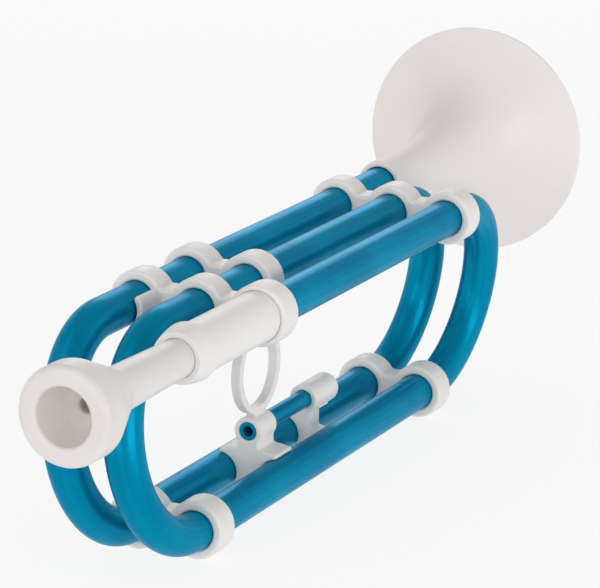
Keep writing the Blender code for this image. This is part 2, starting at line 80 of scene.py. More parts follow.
Point = tuple[float, float]
Colour = tuple[float, float, float, float]
Piece = bpy.types.Object
Socket = bpy.types.NodeSocket


class Body(Enum):
    """Rigid bodies of the frame."""

    COIL = "coil"
    TUNING_SLIDE = "tuning_slide"
    MOUTHPIECE = "mouthpiece_body"


class Slot(Enum):
    """Material slots of the record."""

    TUBE = "blue_tube"
    MOULDING = "white_moulding"
    BELL = "white_bell"
    MOUTHPIECE = "white_mouthpiece"


class Join(Enum):
    """Ways to combine two closed pieces."""

    UNION = "UNION"
    CUT = "DIFFERENCE"


@dataclass(frozen=True)
class Run:
    """Straight stretch of a round piece along Y.

    Attributes:
        x: Place of its axis across the instrument.
        z: Height of its axis.
        front: Station of its front end.
        rear: Station of its rear end.
        radius: Its outer radius.
    """

    x: float
    z: float
    front: float
    rear: float
    radius: float

    @classmethod
    def of(cls, node: str) -> Run:
        """Read the run of a node of the frame from its lowest and highest corners."""
        low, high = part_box(node)
        return cls(0.5 * (low.x + high.x), 0.5 * (low.z + high.z), low.y, high.y,
                   0.5 * (high.x - low.x))

    def at(self, station: float) -> Vector:
        """Place on the run's axis at a station."""
        return Vector((self.x, station, self.z))


@dataclass(frozen=True)
class Corner:
    """Corner of an outline, with the radius of the arc that rounds it."""

    a: float
    b: float
    rounding: float = 0.0


class Bench:
    """Modelling steps that every piece shares, done with Blender's own operators."""

    START_SIZE = 1.0 * MM
    MERGE = 0.002 * MM
    SMOOTH_ANGLE = math.radians(32)
    ARC_STEP = math.radians(9)
    SMALL_ARC_STEP = 2 * ARC_STEP
    NORMAL_WEIGHT = 50
    LIP_TURN = math.radians(78)
    LIP_OVERCUT = 0.4

    @staticmethod
    def deselect() -> None:
        """Leave every object unselected."""
        bpy.ops.object.select_all(action="DESELECT")

    @classmethod
    def activate(cls, piece: Piece) -> None:
        """Select one object alone and make it the active one.

        Args:
            piece: The object to work on.
        """
        cls.deselect()
        piece.select_set(True)
        bpy.context.view_layer.objects.active = piece

    @classmethod
    def edit(cls, piece: Piece, pick: Callable[[Vector], bool] | None = None) -> None:
        """Enter edit mode with chosen geometry selected.

        Args:
            piece: The object to edit.
            pick: Test of a vertex's place; all geometry is selected without it.
        """
        cls.activate(piece)
        bpy.ops.object.mode_set(mode="EDIT")
        bpy.ops.mesh.select_mode(type="VERT")
        bpy.ops.mesh.select_all(action="DESELECT" if pick else "SELECT")
        if pick:
            bpy.ops.object.mode_set(mode="OBJECT")
            for vertex in piece.data.vertices:
                vertex.select = pick(vertex.co)
            bpy.ops.object.mode_set(mode="EDIT")
            bpy.ops.mesh.select_mode(type="EDGE")

    @classmethod
    def trace(cls, name: str, points: Sequence[Vector]) -> Piece:
        """Trace a closed line from one vertex, point by point.

        Args:
            name: Name of the new object.
            points: The line's points, without the first repeated.

        Returns:
            The object, in edit mode, with the whole line selected.
        """
        cls.deselect()
        bpy.ops.mesh.primitive_plane_add(size=cls.START_SIZE, location=points[0])
        piece = bpy.context.active_object
        piece.name = name
        bpy.ops.object.mode_set(mode="EDIT")
        bpy.ops.mesh.select_all(action="SELECT")
        bpy.ops.mesh.merge(type="CENTER")
        for here, there in zip(points, [*points[1:], points[0]]):
            bpy.ops.mesh.extrude_region_move(TRANSFORM_OT_translate={"value": there - here})
        bpy.ops.mesh.select_all(action="SELECT")
        bpy.ops.mesh.remove_doubles(threshold=cls.MERGE)
        return piece

    @classmethod
    def turn(cls, name: str, outline: Sequence[Point], centre: Vector, sides: int,
             axis: Vector = ALONG) -> Piece:
        """Turn a closed outline round an axis.

        Args:
            name: Name of the new object.
            outline: Points of (radius, distance along the axis).
            centre: A point of the axis, where the distance is zero.
            sides: Number of sides of the full turn.
            axis: Unit vector along the axis, +Y or +X.

        Returns:
            The closed, turned piece.
        """
        piece = cls.trace(name, [centre + UP * radius + axis * along
                                 for radius, along in outline])
        bpy.ops.mesh.spin(steps=sides, angle=FULL_TURN, use_auto_merge=True, center=centre,
                          axis=axis)
        cls.tidy()
        return piece

    @classmethod
    def tidy(cls) -> None:
        """Merge doubles, drop loose edges, turn all faces outwards and leave edit mode."""
        bpy.ops.mesh.select_all(action="SELECT")
        bpy.ops.mesh.remove_doubles(threshold=cls.MERGE)
        bpy.ops.mesh.dissolve_degenerate(threshold=cls.MERGE)
        bpy.ops.mesh.delete_loose()
        bpy.ops.mesh.select_all(action="SELECT")
        bpy.ops.mesh.normals_make_consistent(inside=False)
        bpy.ops.object.mode_set(mode="OBJECT")
        bpy.ops.object.transform_apply(location=True, rotation=True, scale=True)

    @classmethod
    def slab(cls, name: str, outline: Sequence[Vector], thickness: Vector,
             rounding: float = 0.0, segments: int = 1) -> Piece:
        """Extrude a flat outline and round the edges of both faces.

        Args:
            name: Name of the new object.
            outline: The outline's points on the first face.
            thickness: The way and distance to the second face.
            rounding: Radius of the rounded edges, or zero.
            segments: Number of facets over each rounded edge.

        Returns:
            The closed slab.
        """
        piece = cls.trace(name, outline)
        bpy.ops.mesh.edge_face_add()
        bpy.ops.mesh.extrude_region_move(TRANSFORM_OT_translate={"value": thickness})
        cls.tidy()
        if rounding:
            way = thickness.normalized()
            near = outline[0].dot(way)
            for level in (near, near + thickness.length):
                cls.edit(piece, lambda co, at=level: abs(co.dot(way) - at) < cls.MERGE)
                bpy.ops.mesh.bevel(offset=rounding, segments=segments, affect="EDGES",
                                   clamp_overlap=False)
                bpy.ops.object.mode_set(mode="OBJECT")
            cls.edit(piece)
            cls.tidy()
        return piece

    @classmethod
    def apply(cls, piece: Piece, kind: str, **settings: object) -> None:
        """Add a modifier and apply it at once.

        Args:
            piece: The object to change.
            kind: Blender's name for the modifier's type.
            **settings: Values for the modifier's own properties.
        """
        step = piece.modifiers.new(kind.lower(), kind)
        for key, value in settings.items():
            setattr(step, key, value)
        cls.activate(piece)
        bpy.ops.object.modifier_apply(modifier=step.name)

    @classmethod
    def combine(cls, piece: Piece, tool: Piece, join: Join) -> None:
        """Join a closed tool to a piece, or cut it out, and remove the tool."""
        cls.apply(piece, "BOOLEAN", object=tool, operation=join.value, solver="EXACT")
        bpy.data.objects.remove(tool, do_unlink=True)

    @classmethod
    def bore(cls, piece: Piece, mouth: Vector, radius: float, depth: float, lip: float,
             sides: int, blind: bool = False) -> None:
        """Cut a round bore along Y whose mouths are rounded.

        Args:
            piece: The piece to cut.
            mouth: Centre of the bore's front mouth.
            radius: Radius of the bore.
            depth: Distance from the front mouth to the rear one, or to the blind end.
            lip: Radius of the rounded mouths.
            sides: Number of sides of the bore.
            blind: Whether the bore ends in the material.
        """
        over = cls.LIP_OVERCUT * lip
        flare = arc((radius + lip, lip), lip, math.pi, math.pi + cls.LIP_TURN)
        edge, inset = flare[-1]
        rim = edge + (inset + over) / math.tan(QUARTER - cls.LIP_TURN)
        outline = [(0.0, -over), (rim, -over), *reversed(flare)]
        if blind:
            outline += [(radius, depth), (0.0, depth)]
        else:
            outline += [*[(a, depth - b) for a, b in flare], (rim, depth + over),
                        (0.0, depth + over)]
        cls.combine(piece, cls.turn("bore", outline, mouth, sides), Join.CUT)

    @classmethod
    def smooth(cls, piece: Piece) -> None:
        """Shade the round faces smooth and keep the flat ones flat.

        Args:
            piece: The finished piece.
        """
        cls.activate(piece)
        bpy.ops.object.shade_smooth_by_angle(angle=cls.SMOOTH_ANGLE)
        cls.apply(piece, "WEIGHTED_NORMAL", weight=cls.NORMAL_WEIGHT, keep_sharp=True)


def arc(centre: Point, radius: float, start: float, end: float,
        step: float = Bench.ARC_STEP) -> list[Point]:
    """Points along an arc, both ends included.

    Args:
        centre: The arc's centre.
        radius: Its radius.
        start: Angle of the first point.
        end: Angle of the last point.
        step: Largest angle between two points.

    Returns:
        The points in order.
    """
    count = max(1, math.ceil(abs(end - start) / step))
    angles = [start + (end - start) * k / count for k in range(count + 1)]
    return [(centre[0] + radius * math.cos(a), centre[1] + radius * math.sin(a))
            for a in angles]


def rounded(corners: Sequence[Corner], step: float = Bench.ARC_STEP) -> list[Point]:
    """Round the corners of a closed outline with arcs.

    Args:
        corners: The outline's corners in order.
        step: Largest angle between two points of an arc.

    Returns:
        The points of the rounded outline.
    """
    points: list[Point] = []
    for before, here, after in zip([corners[-1], *corners[:-1]], corners,
                                   [*corners[1:], corners[0]]):
        spot = Vector((here.a, here.b))
        back = (Vector((before.a, before.b)) - spot).normalized()
        ahead = (Vector((after.a, after.b)) - spot).normalized()
        opening = back.angle(ahead)
        if not here.rounding or math.pi - opening < step:
            points.append((here.a, here.b))
            continue
        centre = spot + (back + ahead).normalized() * (here.rounding / math.sin(0.5 * opening))
        reach = here.rounding / math.tan(0.5 * opening)
        first, last = spot + back * reach - centre, spot + ahead * reach - centre
        start = math.atan2(first.y, first.x)
        sweep = (math.atan2(last.y, last.x) - start + math.pi) % FULL_TURN - math.pi
        points += arc((centre.x, centre.y), here.rounding, start, start + sweep, step)
    return points


class Sketch:
    """Short hand for adding nodes to one tree and linking them."""

    MIX_INPUTS = (0, 6, 7)
    MIX_COLOUR_OUT = 2

    def __init__(self, tree: bpy.types.NodeTree) -> None:
        """Keep the tree that the nodes go into."""
        self.tree = tree

    @classmethod
    def blank(cls, owner: bpy.types.ID) -> Sketch:
        """Start a sketch on the emptied nodes of a world or material.

        Args:
            owner: The world or material.

        Returns:
            A sketch of its tree.
        """
        owner.use_nodes = True
        owner.node_tree.nodes.clear()
        return cls(owner.node_tree)

    def feed(self, socket: Socket, value: object) -> None:
        """Link a socket to another, or set its own value.

        Args:
            socket: The input socket.
            value: An output socket, or a plain value.
        """
        if isinstance(value, Socket):
            self.tree.links.new(value, socket)
        else:
            socket.default_value = value

    def add(self, kind: str, settings: dict[str, object] | None = None,
            **sockets: object) -> bpy.types.Node:
        """Add one node.

        Args:
            kind: Blender's name for the node's type, without its prefix.
            settings: Values for the node's own properties.
            **sockets: Values or links for its inputs, with _ for a space.

        Returns:
            The new node.
        """
        node = self.tree.nodes.new("ShaderNode" + kind)
        for key, value in (settings or {}).items():
            setattr(node, key, value)
        for key, value in sockets.items():
            self.feed(node.inputs[key.replace("_", " ")], value)
        return node

    def gather(self, node: bpy.types.Node, sockets: Sequence[int], values: Sequence[object],
               out: int = 0) -> Socket:
        """Feed a node's inputs by their numbers.

        Args:
            node: The node.
            sockets: Numbers of the inputs.
            values: A value or a link for each.
            out: Number of the output that is wanted.

        Returns:
            That output.
        """
        for index, value in zip(sockets, values):
            self.feed(node.inputs[index], value)
        return node.outputs[out]

    def maths(self, operation: str, one: object, other: object) -> Socket:
        """Combine two values by the operation that Blender calls by this name."""
        return self.gather(self.add("Math", {"operation": operation}), (0, 1), (one, other))

    def tint(self, factor: Socket, one: object, other: object) -> Socket:
        """Blend two colours, the first where the factor is zero."""
        return self.gather(self.add("Mix", {"data_type": "RGBA"}), self.MIX_INPUTS,
                           (factor, one, other), self.MIX_COLOUR_OUT)

    def mix(self, factor: Socket, one: Socket, other: Socket) -> Socket:
        """Mix two shaders, the first where the factor is zero."""
        return self.gather(self.add("MixShader"), (0, 1, 2), (factor, one, other))

    def spread(self, value: Socket, low: float, high: float, to_low: float = 0.0,
               to_high: float = 1.0) -> Socket:
        """Map a value smoothly from one range to another.

        Args:
            value: The value to map.
            low: Start of its range.
            high: End of its range.
            to_low: What the start becomes.
            to_high: What the end becomes.

        Returns:
            The mapped value.
        """
        node = self.add("MapRange", {"interpolation_type": "SMOOTHSTEP"}, Value=value,
                        From_Min=low, From_Max=high, To_Min=to_low, To_Max=to_high)
        return node.outputs["Result"]


class Skin:
    """Node group of one plastic skin, with the inputs and outputs that all skins share."""

    INPUTS = (("Vector", "NodeSocketVector"), ("Light", "NodeSocketColor"),
              ("Deep", "NodeSocketColor"), ("Drift Scale", "NodeSocketFloat"),
              ("Grain Scale", "NodeSocketFloat"), ("Smooth", "NodeSocketFloat"),
              ("Rough", "NodeSocketFloat"))
    OUTPUTS = (("Colour", "NodeSocketColor"), ("Roughness", "NodeSocketFloat"),
               ("Height", "NodeSocketFloat"))
    HAZE_RANGE = (0.3, 0.7)
    MOULDED_RANGE = (0.35, 0.68)
    DRAWN_RANGE = (0.35, 0.66)
    PATCH_RATIO = 4.3
    PEEL_RATIO = 0.22
    FINE_RATIO = 2.5
    GRAIN_SHARE = 0.35
    FINE_SHARE = 0.3
    STREAK_SHARE = 0.35
    DRIFT_SHARE = 0.65
    STRETCH = (1.0, 0.03, 1.0)

    def __init__(self, name: str) -> None:
        """Make the empty group.

        Args:
            name: Name of the group.
        """
        self.tree = bpy.data.node_groups.new(name, "ShaderNodeTree")
        for way, sockets in (("INPUT", self.INPUTS), ("OUTPUT", self.OUTPUTS)):
            for label, kind in sockets:
                self.tree.interface.new_socket(label, in_out=way, socket_type=kind)
        self.sketch = Sketch(self.tree)
        self.given = self.tree.nodes.new("NodeGroupInput").outputs
        self.result = self.tree.nodes.new("NodeGroupOutput").inputs

    def noise(self, scale: str, detail: float, roughness: float = 0.5, ratio: float = 1.0,
              where: Socket | None = None) -> Socket:
        """Add a noise texture.

        Args:
            scale: Name of the input that holds its cycles in a metre.
            detail: Number of finer layers.
            roughness: Strength of the finer layers.
            ratio: How many times finer than that input it is.
            where: Where it is read, if not at the group's own vector.

        Returns:
            The noise's value.
        """
        cycles = self.given[scale]
        if ratio != 1.0:
            cycles = self.sketch.maths("MULTIPLY", cycles, ratio)
        place = self.given["Vector"] if where is None else where
        return self.sketch.add("TexNoise", Vector=place, Scale=cycles, Detail=detail,
                               Roughness=roughness).outputs["Fac"]

    def close(self, drift: Socket, span: Point, haze: Socket, height: Socket) -> None:
        """Link the masks to the outputs.

        Args:
            drift: Noise of the deeper tint.
            span: Range of that noise over which the tint deepens.
            haze: Noise of the rougher surface.
            height: Height of the fine relief.
        """
        sketch, given = self.sketch, self.given
        colour = sketch.tint(sketch.spread(drift, *span), given["Light"], given["Deep"])
        extra = sketch.maths("MULTIPLY", sketch.maths("SUBTRACT", given["Rough"], given["Smooth"]),
                             sketch.spread(haze, *self.HAZE_RANGE))
        sketch.feed(self.result["Colour"], colour)
        sketch.feed(self.result["Roughness"], sketch.maths("ADD", extra, given["Smooth"]))
        sketch.feed(self.result["Height"], height)

    def moulded(self) -> None:
        """Draw a moulded skin: slow drifts of tint, hazier patches and a fine grain."""
        drift = self.noise("Drift Scale", detail=3.0, roughness=0.55)
        patches = self.noise("Drift Scale", detail=2.0, ratio=self.PATCH_RATIO)
        grain = self.noise("Grain Scale", detail=2.0, roughness=0.6)
        peel = self.noise("Grain Scale", detail=1.0, ratio=self.PEEL_RATIO)
        maths = self.sketch.maths
        height = maths("ADD", maths("MULTIPLY", grain, self.GRAIN_SHARE), peel)
        self.close(drift, self.MOULDED_RANGE, patches, height)

    def drawn(self) -> None:
        """Draw a tube's skin: faint streaks along the tube over drifts of tint."""
        along = self.sketch.add("Mapping", Vector=self.given["Vector"], Scale=self.STRETCH)
        streaks = self.noise("Grain Scale", detail=3.0, roughness=0.6,
                             where=along.outputs["Vector"])
        drift = self.noise("Drift Scale", detail=3.0)
        fine = self.noise("Grain Scale", detail=1.0, ratio=self.FINE_RATIO)
        maths = self.sketch.maths
        shade = maths("ADD", maths("MULTIPLY", streaks, self.STREAK_SHARE),
                      maths("MULTIPLY", drift, self.DRIFT_SHARE))
        height = maths("ADD", streaks, maths("MULTIPLY", fine, self.FINE_SHARE))
        self.close(shade, self.DRAWN_RANGE, streaks, height)

    @classmethod
    def group(cls, along_tube: bool) -> bpy.types.NodeTree:
        """Find a skin's group, or build it the first time.

        Args:
            along_tube: Whether it is the tube's skin and not the moulded one.

        Returns:
            The group.
        """
        name, draw = ("drawn_tube_skin", cls.drawn) if along_tube else ("moulded_skin", cls.moulded)
        if name not in bpy.data.node_groups:
            draw(cls(name))
        return bpy.data.node_groups[name]


@dataclass(frozen=True)
class Plastic:
    """One plastic finish.

    Attributes:
        name: Name of the material.
        slot: The record's material slot; not used.
        light: Its lighter tint.
        deep: Its deeper tint.
        smooth: Roughness where the skin is smoothest.
        rough: Roughness where it is haziest.
        drift_scale: Cycles of tint in a metre.
        grain_scale: Cycles of fine grain in a metre.
        relief: Height of the fine relief.
        specular: Strength of the surface reflection.
        edge: Tint of that reflection.
        inner: Share of light scattered under the surface.
        pearl: Share of light that a pearl pigment mirrors in the tint's own colour.
        along_tube: Whether the pattern follows a tube.
    """

    name: str
    slot: Slot
    light: Colour
    deep: Colour
    smooth: float
    rough: float
    drift_scale: float
    grain_scale: float
    relief: float
    specular: float = 0.5
    edge: Colour = (1.0, 1.0, 1.0, 1.0)
    inner: float = 0.0
    pearl: float = 0.0
    along_tube: bool = False

    SCATTER_DEPTH = 1.2 * MM
    SCATTER_COLOUR = (1.0, 0.8, 0.65)
    BUMP_STRENGTH = 0.6

    def material(self) -> bpy.types.Material:
        """Find the material, or build it the first time.

        Returns:
            The material, with its pattern read from the piece itself.
        """
        known = bpy.data.materials.get(self.name)
        if known:
            return known
        material = bpy.data.materials.new(self.name)
        material.use_nodes = True
        sketch = Sketch(material.node_tree)
        if self.along_tube:
            where = sketch.add("Attribute", {"attribute_name": TUBE_PLACE}).outputs["Vector"]
        else:
            where = sketch.add("TexCoord").outputs["Object"]
        skin = sketch.add("Group", {"node_tree": Skin.group(self.along_tube)}, Vector=where,
                          Light=self.light, Deep=self.deep, Drift_Scale=self.drift_scale,
                          Grain_Scale=self.grain_scale, Smooth=self.smooth, Rough=self.rough)
        bump = sketch.add("Bump", Height=skin.outputs["Height"], Strength=self.BUMP_STRENGTH,
                          Distance=self.relief)
        shader = material.node_tree.nodes["Principled BSDF"].inputs
        for label, value in (("Base Color", skin.outputs["Colour"]),
                             ("Roughness", skin.outputs["Roughness"]),
                             ("Normal", bump.outputs["Normal"]),
                             ("Specular IOR Level", self.specular),
                             ("Specular Tint", self.edge),
                             ("Metallic", self.pearl),
                             ("Subsurface Weight", self.inner),
                             ("Subsurface Radius", self.SCATTER_COLOUR),
                             ("Subsurface Scale", self.SCATTER_DEPTH)):
            sketch.feed(shader[label], value)
        return material


BLUE = Plastic("satin_blue_tube", Slot.TUBE, (0.0012, 0.272, 0.445, 1.0),
               (0.0008, 0.200, 0.358, 1.0), smooth=0.26, rough=0.33, drift_scale=26.0,
               grain_scale=900.0, relief=0.004 * MM, specular=0.02, edge=(0.6, 0.8, 0.95, 1.0),
               pearl=0.45, along_tube=True)
WHITE = Plastic("white_moulded_plastic", Slot.MOULDING, (0.795, 0.770, 0.748, 1.0),
                (0.765, 0.735, 0.710, 1.0), smooth=0.36, rough=0.46, drift_scale=38.0,
                grain_scale=1600.0, relief=0.012 * MM, inner=0.12)
BELL_WHITE = Plastic("white_bell_plastic", Slot.BELL, (0.800, 0.752, 0.735, 1.0),
                     (0.762, 0.712, 0.695, 1.0), smooth=0.34, rough=0.46, drift_scale=14.0,
                     grain_scale=1300.0, relief=0.012 * MM, inner=0.15)
MOUTH_WHITE = Plastic("smooth_white_mouthpiece", Slot.MOUTHPIECE, (0.735, 0.702, 0.683, 1.0),
                      (0.708, 0.673, 0.652, 1.0), smooth=0.32, rough=0.42, drift_scale=45.0,
                      grain_scale=1500.0, relief=0.01 * MM, inner=0.15)


def hand_over(piece: Piece, node: str, body: Body, finish: Plastic) -> None:
    """Smooth and dress a finished piece and give it its node's place in the frame.

    Args:
        piece: The finished piece.
        node: The node that it stands for.
        body: The body that carries it.
        finish: Its finish.
    """
    Bench.smooth(piece)
    piece.data.materials.clear()
    piece.data.materials.append(finish.material())
    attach(piece, body.value)
    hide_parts(node)
    log.info("%s: %d faces, on %s", piece.name, len(piece.data.polygons), body.value)


def mark_along(piece: Piece, place: Callable[[Vector], Vector]) -> None:
    """Store where each vertex lies along a tube and round it.

    Args:
        piece: The tube.
        place: Turns a vertex's place into (across, along, up) of the straightened tube.
    """
    attribute = piece.data.attributes.new(TUBE_PLACE, "FLOAT_VECTOR", "POINT")
    values = np.array([place(vertex.co) for vertex in piece.data.vertices], np.float32)
    attribute.data.foreach_set("vector", values.ravel())


@dataclass
class Tubing:
    """The blue tube: straight runs, half-circle bends and the thin grip tube."""

    wall: float = 1.25 * MM
    grip_wall: float = 1.2 * MM
    end_rounding: float = 0.3 * MM
    end_segments: int = 3
    end_angle: float = math.radians(60)
    sides: int = 96
    bend_steps: int = 72
    grip_sides: int = 64

    STRAIGHT = ("lead_tube", "middle_tube", "bell_tube", "low_near_tube", "low_far_tube")
    BENDS = (("front_near_bend", "middle_tube", "low_near_tube"),
             ("front_far_bend", "bell_tube", "low_far_tube"),
             ("rear_near_bend", "lead_tube", "low_near_tube"),
             ("rear_far_bend", "middle_tube", "low_far_tube"))

    def straight(self, node: str, wall: float, sides: int) -> Piece:
        """Make a straight tube with a real wall and softened ends.

        Args:
            node: The node whose run it fills.
            wall: Thickness of its wall.
            sides: Number of its sides.

        Returns:
            The tube.
        """
        run, ease = Run.of(node), self.end_rounding
        bore = run.radius - wall
        outline = rounded([Corner(run.radius, run.front, ease), Corner(run.radius, run.rear, ease),
                           Corner(bore, run.rear, ease), Corner(bore, run.front, ease)],
                          QUARTER / self.end_segments)
        tube = Bench.turn(node + "_pipe", outline, run.at(0.0), sides)
        mark_along(tube, lambda co: Vector((co.x - run.x, co.y, co.z - run.z)))
        return tube

    def bend(self, node: str, top: Run, bottom: Run) -> Piece:
        """Make a half-circle bend with a short straight leg at each end.

        Args:
            node: The node that it stands for.
            top: Run of the upper tube that it joins.
            bottom: Run of the lower tube that it joins.

        Returns:
            The bend.
        """
        low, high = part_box(node)
        upper, lower = top.at(0.0), bottom.at(0.0)
        middle = 0.5 * (upper + lower)
        reach = upper - middle
        outward = reach.length + top.radius
        to_front = abs(low.y) > abs(high.y)
        forward = Vector((0.0, -1.0 if to_front else 1.0, 0.0))
        middle.y = low.y + outward if to_front else high.y - outward
        sides = forward.cross(reach).normalized()
        ends = self.leg_ends(node, to_front)
        Bench.deselect()
        bpy.ops.mesh.primitive_circle_add(vertices=self.sides, radius=top.radius,
                                          location=top.at(ends[0]), rotation=(QUARTER, 0.0, 0.0))
        tube = bpy.context.active_object
        tube.name = node + "_pipe"
        Bench.edit(tube)
        bpy.ops.mesh.extrude_region_move(
            TRANSFORM_OT_translate={"value": (0.0, middle.y - ends[0], 0.0)})
        bpy.ops.mesh.spin(steps=self.bend_steps, angle=math.pi, center=middle, axis=sides)
        bpy.ops.mesh.extrude_region_move(
            TRANSFORM_OT_translate={"value": (0.0, ends[1] - middle.y, 0.0)})
        Bench.tidy()
        Bench.apply(tube, "SOLIDIFY", thickness=self.wall, offset=-1.0, use_even_offset=True)
        Bench.apply(tube, "BEVEL", width=self.end_rounding, segments=self.end_segments,
                    limit_method="ANGLE", angle_limit=self.end_angle)
        turn = reach.normalized()
        mark_along(tube, lambda co: self.unroll(co - middle, turn, forward, sides, reach.length))
        return tube

    @staticmethod
    def unroll(offset: Vector, turn: Vector, forward: Vector, sides: Vector,
               radius: float) -> Vector:
        """Give a place on a bend as if the bend were straight.

        Args:
            offset: The place, seen from the bend's centre.
            turn: Unit vector from the centre to the bend's start.
            forward: Unit vector the bend bulges towards.
            sides: Unit vector square to the bend's plane.
            radius: Radius of the bend.

        Returns:
            The distance off the centre line, along it, and square to the bend's plane.
        """
        outward, ahead = offset.dot(turn), offset.dot(forward)
        if ahead > 0:
            along = radius * math.atan2(ahead, outward)
            return Vector((math.hypot(outward, ahead) - radius, along, offset.dot(sides)))
        if outward > 0:
            return Vector((outward - radius, ahead, offset.dot(sides)))
        return Vector((-outward - radius, math.pi * radius - ahead, offset.dot(sides)))

    @staticmethod
    def leg_ends(node: str, to_front: bool) -> Point:
        """Find the stations where a bend's upper and lower legs end.

        Args:
            node: The bend's node.
            to_front: Whether the bend lies at the instrument's front.

        Returns:
            The upper leg's end and the lower leg's end.
        """
        places = np.array([vertex.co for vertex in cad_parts[node].data.vertices], float)
        middle = 0.5 * (places[:, 2].min() + places[:, 2].max())
        best = np.max if to_front else np.min
        return (float(best(places[places[:, 2] > middle][:, 1])),
                float(best(places[places[:, 2] < middle][:, 1])))

    def build(self) -> None:
        """Build every blue piece."""
        for node in self.STRAIGHT:
            hand_over(self.straight(node, self.wall, self.sides), node, Body.COIL, BLUE)
        for node, top, bottom in self.BENDS:
            hand_over(self.bend(node, Run.of(top), Run.of(bottom)), node, Body.COIL, BLUE)
        grip = self.straight("grip_tube", self.grip_wall, self.grip_sides)
        hand_over(grip, "grip_tube", Body.COIL, BLUE)


@dataclass
class Clips:
    """The white clips: rows of rings joined by webs, and the tongue of the front one."""

    seat_gap: float = 0.3 * MM
    visible_gap: float = 0.06 * MM
    web: float = 9.4 * MM
    fillet: float = 0.9 * MM
    rounding: float = 1.15 * MM
    lip: float = 1.0 * MM
    segments: int = 5
    sides: int = 128
    sleeve_seat: float = 5.5 * MM
    sleeve_gap: float = 0.08 * MM
    sleeve_lip: float = 0.25 * MM
    tongue_step: float = 0.5 * MM
    tongue_set: float = 0.15 * MM
    tongue_low: float = math.radians(-50)
    tongue_high: float = math.radians(36)
    tongue_rounding: float = 0.7 * MM

    UPPER = ("bell_tube", "middle_tube", "lead_tube")
    LOWER = ("low_far_tube", "low_near_tube")
    ROWS = (("second_upper_clip", UPPER[:2]), ("rear_upper_clip", UPPER),
            ("front_lower_clip", LOWER), ("rear_lower_clip", LOWER))

    def outline(self, places: Sequence[float], radii: Sequence[float]) -> list[Point]:
        """Draw a row of rings with filleted webs between them.

        Args:
            places: Where the rings' centres lie across, from the left.
            radii: The rings' outer radii.

        Returns:
            Points of (across, up) round the row.
        """
        lift = 0.5 * self.web + self.fillet
        meet = [math.asin(lift / (radius + self.fillet)) for radius in radii]
        off = [(radius + self.fillet) * math.cos(angle) for radius, angle in zip(radii, meet)]
        last = len(places) - 1
        points = arc((places[last], 0.0), radii[last], meet[last] - math.pi, math.pi - meet[last])
        for k in range(last, 0, -1):
            points += arc((places[k] - off[k], lift), self.fillet, -meet[k], -QUARTER)
            points += arc((places[k - 1] + off[k - 1], lift), self.fillet, -QUARTER,
                          meet[k - 1] - math.pi)
            end = FULL_TURN - meet[0] if k == 1 else math.pi - meet[k - 1]
            points += arc((places[k - 1], 0.0), radii[k - 1], meet[k - 1], end)
        for k in range(last):
            points += arc((places[k] + off[k], -lift), self.fillet, math.pi - meet[k], QUARTER)
            points += arc((places[k + 1] - off[k + 1], -lift), self.fillet, QUARTER, meet[k + 1])
            if k + 1 < last:
                points += arc((places[k + 1], 0.0), radii[k + 1], math.pi + meet[k + 1],
                              FULL_TURN - meet[k + 1])
        return points

    def row(self, node: str, tubes: Sequence[Run], front: float, rear: float,
            radii: Sequence[float]) -> Piece:
        """Make one clip with a bore for each tube.

        Args:
            node: The node that it stands for.
            tubes: The runs of the tubes that it holds, from the left.
            front: Station of its front face.
            rear: Station of its rear face.
            radii: The rings' outer radii.

        Returns:
            The clip.
        """
        points = self.outline([tube.x for tube in tubes], radii)
        piece = Bench.slab(node + "_moulding",
                           [Vector((a, front, tubes[0].z + b)) for a, b in points],
                           ALONG * (rear - front), self.rounding, self.segments)
        for tube in tubes:
            Bench.bore(piece, tube.at(front), tube.radius + self.visible_gap, rear - front,
                       self.lip, self.sides)
        return piece

    def tongue(self, tube: Run, front: float, rear: float, ring: float) -> Piece:
        """Make the trough that runs forward from the front upper clip.

        Args:
            tube: Run of the tube that it follows.
            front: Station of its front end.
            rear: Station of its rear end, inside the clip.
            ring: Outer radius of the clip's ring.

        Returns:
            The tongue, to be joined to the clip.
        """
        inner = tube.radius + self.seat_gap + self.tongue_set
        outer = ring - self.tongue_step
        cap, middle = 0.5 * (outer - inner), 0.5 * (outer + inner)
        low = self.tongue_low + math.asin(cap / middle)
        high = self.tongue_high - math.asin(cap / middle)
        band: list[Point] = []
        for radius, start, end, first in ((outer, low, high, high),
                                          (inner, high, low, low + math.pi)):
            band += arc((0.0, 0.0), radius, start, end)
            band += arc((middle * math.cos(end), middle * math.sin(end)), cap, first,
                        first + math.pi, Bench.SMALL_ARC_STEP)[1:-1]
        return Bench.slab("tongue", [Vector((tube.x + a, front, tube.z + b)) for a, b in band],
                          ALONG * (rear - front), self.tongue_rounding, self.segments)

    def front_upper(self) -> Piece:
        """Make the front upper clip, with the sleeve's seat and the tongue.

        Returns:
            The clip.
        """
        tubes = [Run.of(tube) for tube in self.UPPER]
        second, sleeve = Run.of("second_upper_clip"), Run.of("tuning_sleeve")
        low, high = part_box("front_upper_clip")
        length, ring = second.rear - second.front, self.ring_radius()
        front = high.y - length
        piece = self.row("front_upper_clip", tubes, front, high.y,
                         [ring, ring, high.x - tubes[2].x])
        Bench.bore(piece, sleeve.at(front), sleeve.radius + self.sleeve_gap, self.sleeve_seat,
                   self.sleeve_lip, self.sides, blind=True)
        Bench.combine(piece, self.tongue(tubes[0], low.y, front + 0.5 * length, ring), Join.UNION)
        return piece

    @staticmethod
    def ring_radius() -> float:
        """Outer radius of a clip's ring, from a clip's height in the frame."""
        low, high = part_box("second_upper_clip")
        return 0.5 * (high.z - low.z)

    def build(self) -> None:
        """Build the five clips."""
        pieces = [("front_upper_clip", self.front_upper())]
        for node, tubes in self.ROWS:
            run = Run.of(node)
            pieces.append((node, self.row(node, [Run.of(tube) for tube in tubes], run.front,
                                          run.rear, [self.ring_radius()] * len(tubes))))
        for node, piece in pieces:
            hand_over(piece, node, Body.COIL, WHITE)


